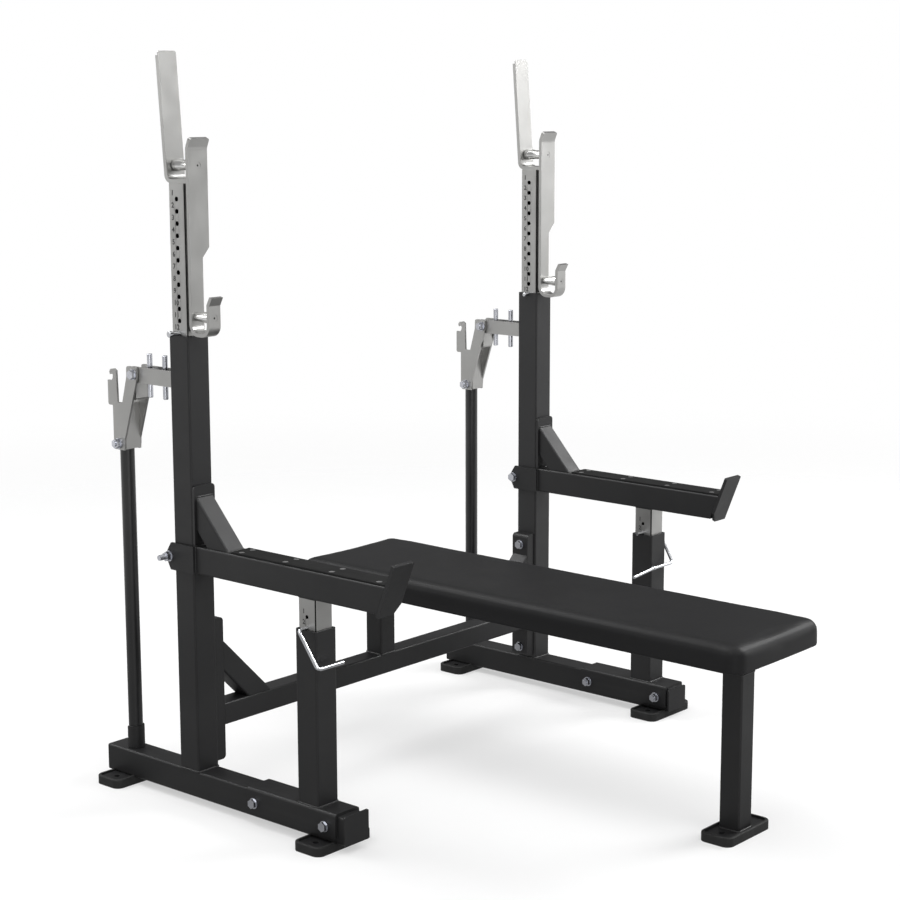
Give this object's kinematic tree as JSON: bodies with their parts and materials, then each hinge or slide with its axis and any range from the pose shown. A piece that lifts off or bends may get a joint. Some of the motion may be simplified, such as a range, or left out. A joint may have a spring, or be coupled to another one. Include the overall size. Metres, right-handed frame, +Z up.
{
  "type": "competition bench press",
  "caption": "Competition bench press: padded bench between height-adjustable bar racks with roller hooks, lever jacks and sliding safety arms.",
  "frame": {"origin": "centre of the bounding box's bottom face, on the floor midway between the side frames", "axes": "+Z up; +Y from the foot end of the bench towards the jack levers; the barbell lies along X"},
  "size_m": [1.344, 1.392, 1.629],
  "materials": {
    "black_powder_coat": "satin powder coat with a fine texture",
    "satin_nickel": "satin nickel plate",
    "zinc_bolts": "bright zinc plate",
    "pad_vinyl": "satin black upholstery vinyl, no visible seams",
    "liner_plastic": "matte black wear strip",
    "black_rubber": "matte black moulded rubber"
  },
  "bodies": {
    "frame": {"base_beams": "black_powder_coat", "end_plates": "black_powder_coat", "foot_plates": "black_powder_coat", "rubber_feet": "black_rubber", "crossbeam": "black_powder_coat", "crossbeam_brackets": "black_powder_coat", "crossbeam_braces": "black_powder_coat", "post_saddles": "black_powder_coat", "frame_bolts": "zinc_bolts", "jack_arms": "satin_nickel", "jack_pegs": "zinc_bolts", "lever_rests": "black_powder_coat", "bench_rear_leg": "black_powder_coat", "bench_front_leg": "black_powder_coat", "bench_beam": "black_powder_coat", "pad_bars": "black_powder_coat", "pad_screws": "zinc_bolts", "bench_pad": "pad_vinyl", "upright_left": "black_powder_coat", "upright_right": "black_powder_coat", "front_post_left": "black_powder_coat", "front_post_right": "black_powder_coat"},
    "inner_left": {"inner_upright_left": "satin_nickel", "rack_hook_left": "satin_nickel", "rack_finger_left": "satin_nickel", "hook_axles_left": "satin_nickel"},
    "upper_roller_left": {"upper_roller_left": "satin_nickel"},
    "lower_roller_left": {"lower_roller_left": "satin_nickel"},
    "height_pin_left": {"height_pin_left": "zinc_bolts"},
    "lever_left": {"lever_head_left": "satin_nickel", "lever_bar_left": "black_powder_coat", "lever_bolt_left": "zinc_bolts"},
    "safety_left": {"safety_yoke_left": "black_powder_coat", "safety_bolt_left": "zinc_bolts", "safety_arm_left": "black_powder_coat", "safety_end_plate_left": "black_powder_coat", "safety_brace_left": "black_powder_coat", "safety_liner_left": "liner_plastic", "liner_screws_left": "zinc_bolts", "post_slider_left": "satin_nickel"},
    "latch_pin_left": {"latch_pin_left": "zinc_bolts"},
    "inner_right": {"inner_upright_right": "satin_nickel", "rack_hook_right": "satin_nickel", "rack_finger_right": "satin_nickel", "hook_axles_right": "satin_nickel"},
    "upper_roller_right": {"upper_roller_right": "satin_nickel"},
    "lower_roller_right": {"lower_roller_right": "satin_nickel"},
    "height_pin_right": {"height_pin_right": "zinc_bolts"},
    "lever_right": {"lever_head_right": "satin_nickel", "lever_bar_right": "black_powder_coat", "lever_bolt_right": "zinc_bolts"},
    "safety_right": {"safety_yoke_right": "black_powder_coat", "safety_bolt_right": "zinc_bolts", "safety_arm_right": "black_powder_coat", "safety_end_plate_right": "black_powder_coat", "safety_brace_right": "black_powder_coat", "safety_liner_right": "liner_plastic", "liner_screws_right": "zinc_bolts", "post_slider_right": "satin_nickel"},
    "latch_pin_right": {"latch_pin_right": "zinc_bolts"}
  },
  "joints": [
    {"name": "height_slide_left", "type": "slide", "parent": "frame", "child": "inner_left", "axis": [0, 0, 1], "range_m": [0, 0.05]},
    {"name": "upper_roller_spin_left", "type": "hinge", "parent": "inner_left", "child": "upper_roller_left", "pos_m": [-0.59, 0.419, 1.393], "axis": [0, 1, 0], "continuous": true},
    {"name": "lower_roller_spin_left", "type": "hinge", "parent": "inner_left", "child": "lower_roller_left", "pos_m": [-0.602, 0.34, 1.078], "axis": [0, 1, 0], "continuous": true},
    {"name": "height_pin_pull_left", "type": "slide", "parent": "inner_left", "child": "height_pin_left", "axis": [-1, 0, 0], "range_m": [0, 0.07]},
    {"name": "jack_lever_left", "type": "hinge", "parent": "frame", "child": "lever_left", "pos_m": [-0.59, 0.577, 0.938], "axis": [1, 0, 0], "range_deg": [0, 110]},
    {"name": "safety_slide_left", "type": "slide", "parent": "frame", "child": "safety_left", "axis": [0, 0, 1], "range_m": [0, 0.135]},
    {"name": "latch_pin_pull_left", "type": "slide", "parent": "safety_left", "child": "latch_pin_left", "axis": [-1, 0, 0], "range_m": [0, 0.065]},
    {"name": "height_slide_right", "type": "slide", "parent": "frame", "child": "inner_right", "axis": [0, 0, 1], "range_m": [0, 0.05]},
    {"name": "upper_roller_spin_right", "type": "hinge", "parent": "inner_right", "child": "upper_roller_right", "pos_m": [0.59, 0.419, 1.3845], "axis": [0, 1, 0], "continuous": true},
    {"name": "lower_roller_spin_right", "type": "hinge", "parent": "inner_right", "child": "lower_roller_right", "pos_m": [0.578, 0.34, 1.0695], "axis": [0, 1, 0], "continuous": true},
    {"name": "height_pin_pull_right", "type": "slide", "parent": "inner_right", "child": "height_pin_right", "axis": [1, 0, 0], "range_m": [0, 0.07]},
    {"name": "jack_lever_right", "type": "hinge", "parent": "frame", "child": "lever_right", "pos_m": [0.59, 0.577, 0.938], "axis": [1, 0, 0], "range_deg": [0, 110]},
    {"name": "safety_slide_right", "type": "slide", "parent": "frame", "child": "safety_right", "axis": [0, 0, 1], "range_m": [0, 0.135]},
    {"name": "latch_pin_pull_right", "type": "slide", "parent": "safety_right", "child": "latch_pin_right", "axis": [1, 0, 0], "range_m": [0, 0.078]}
  ]
}
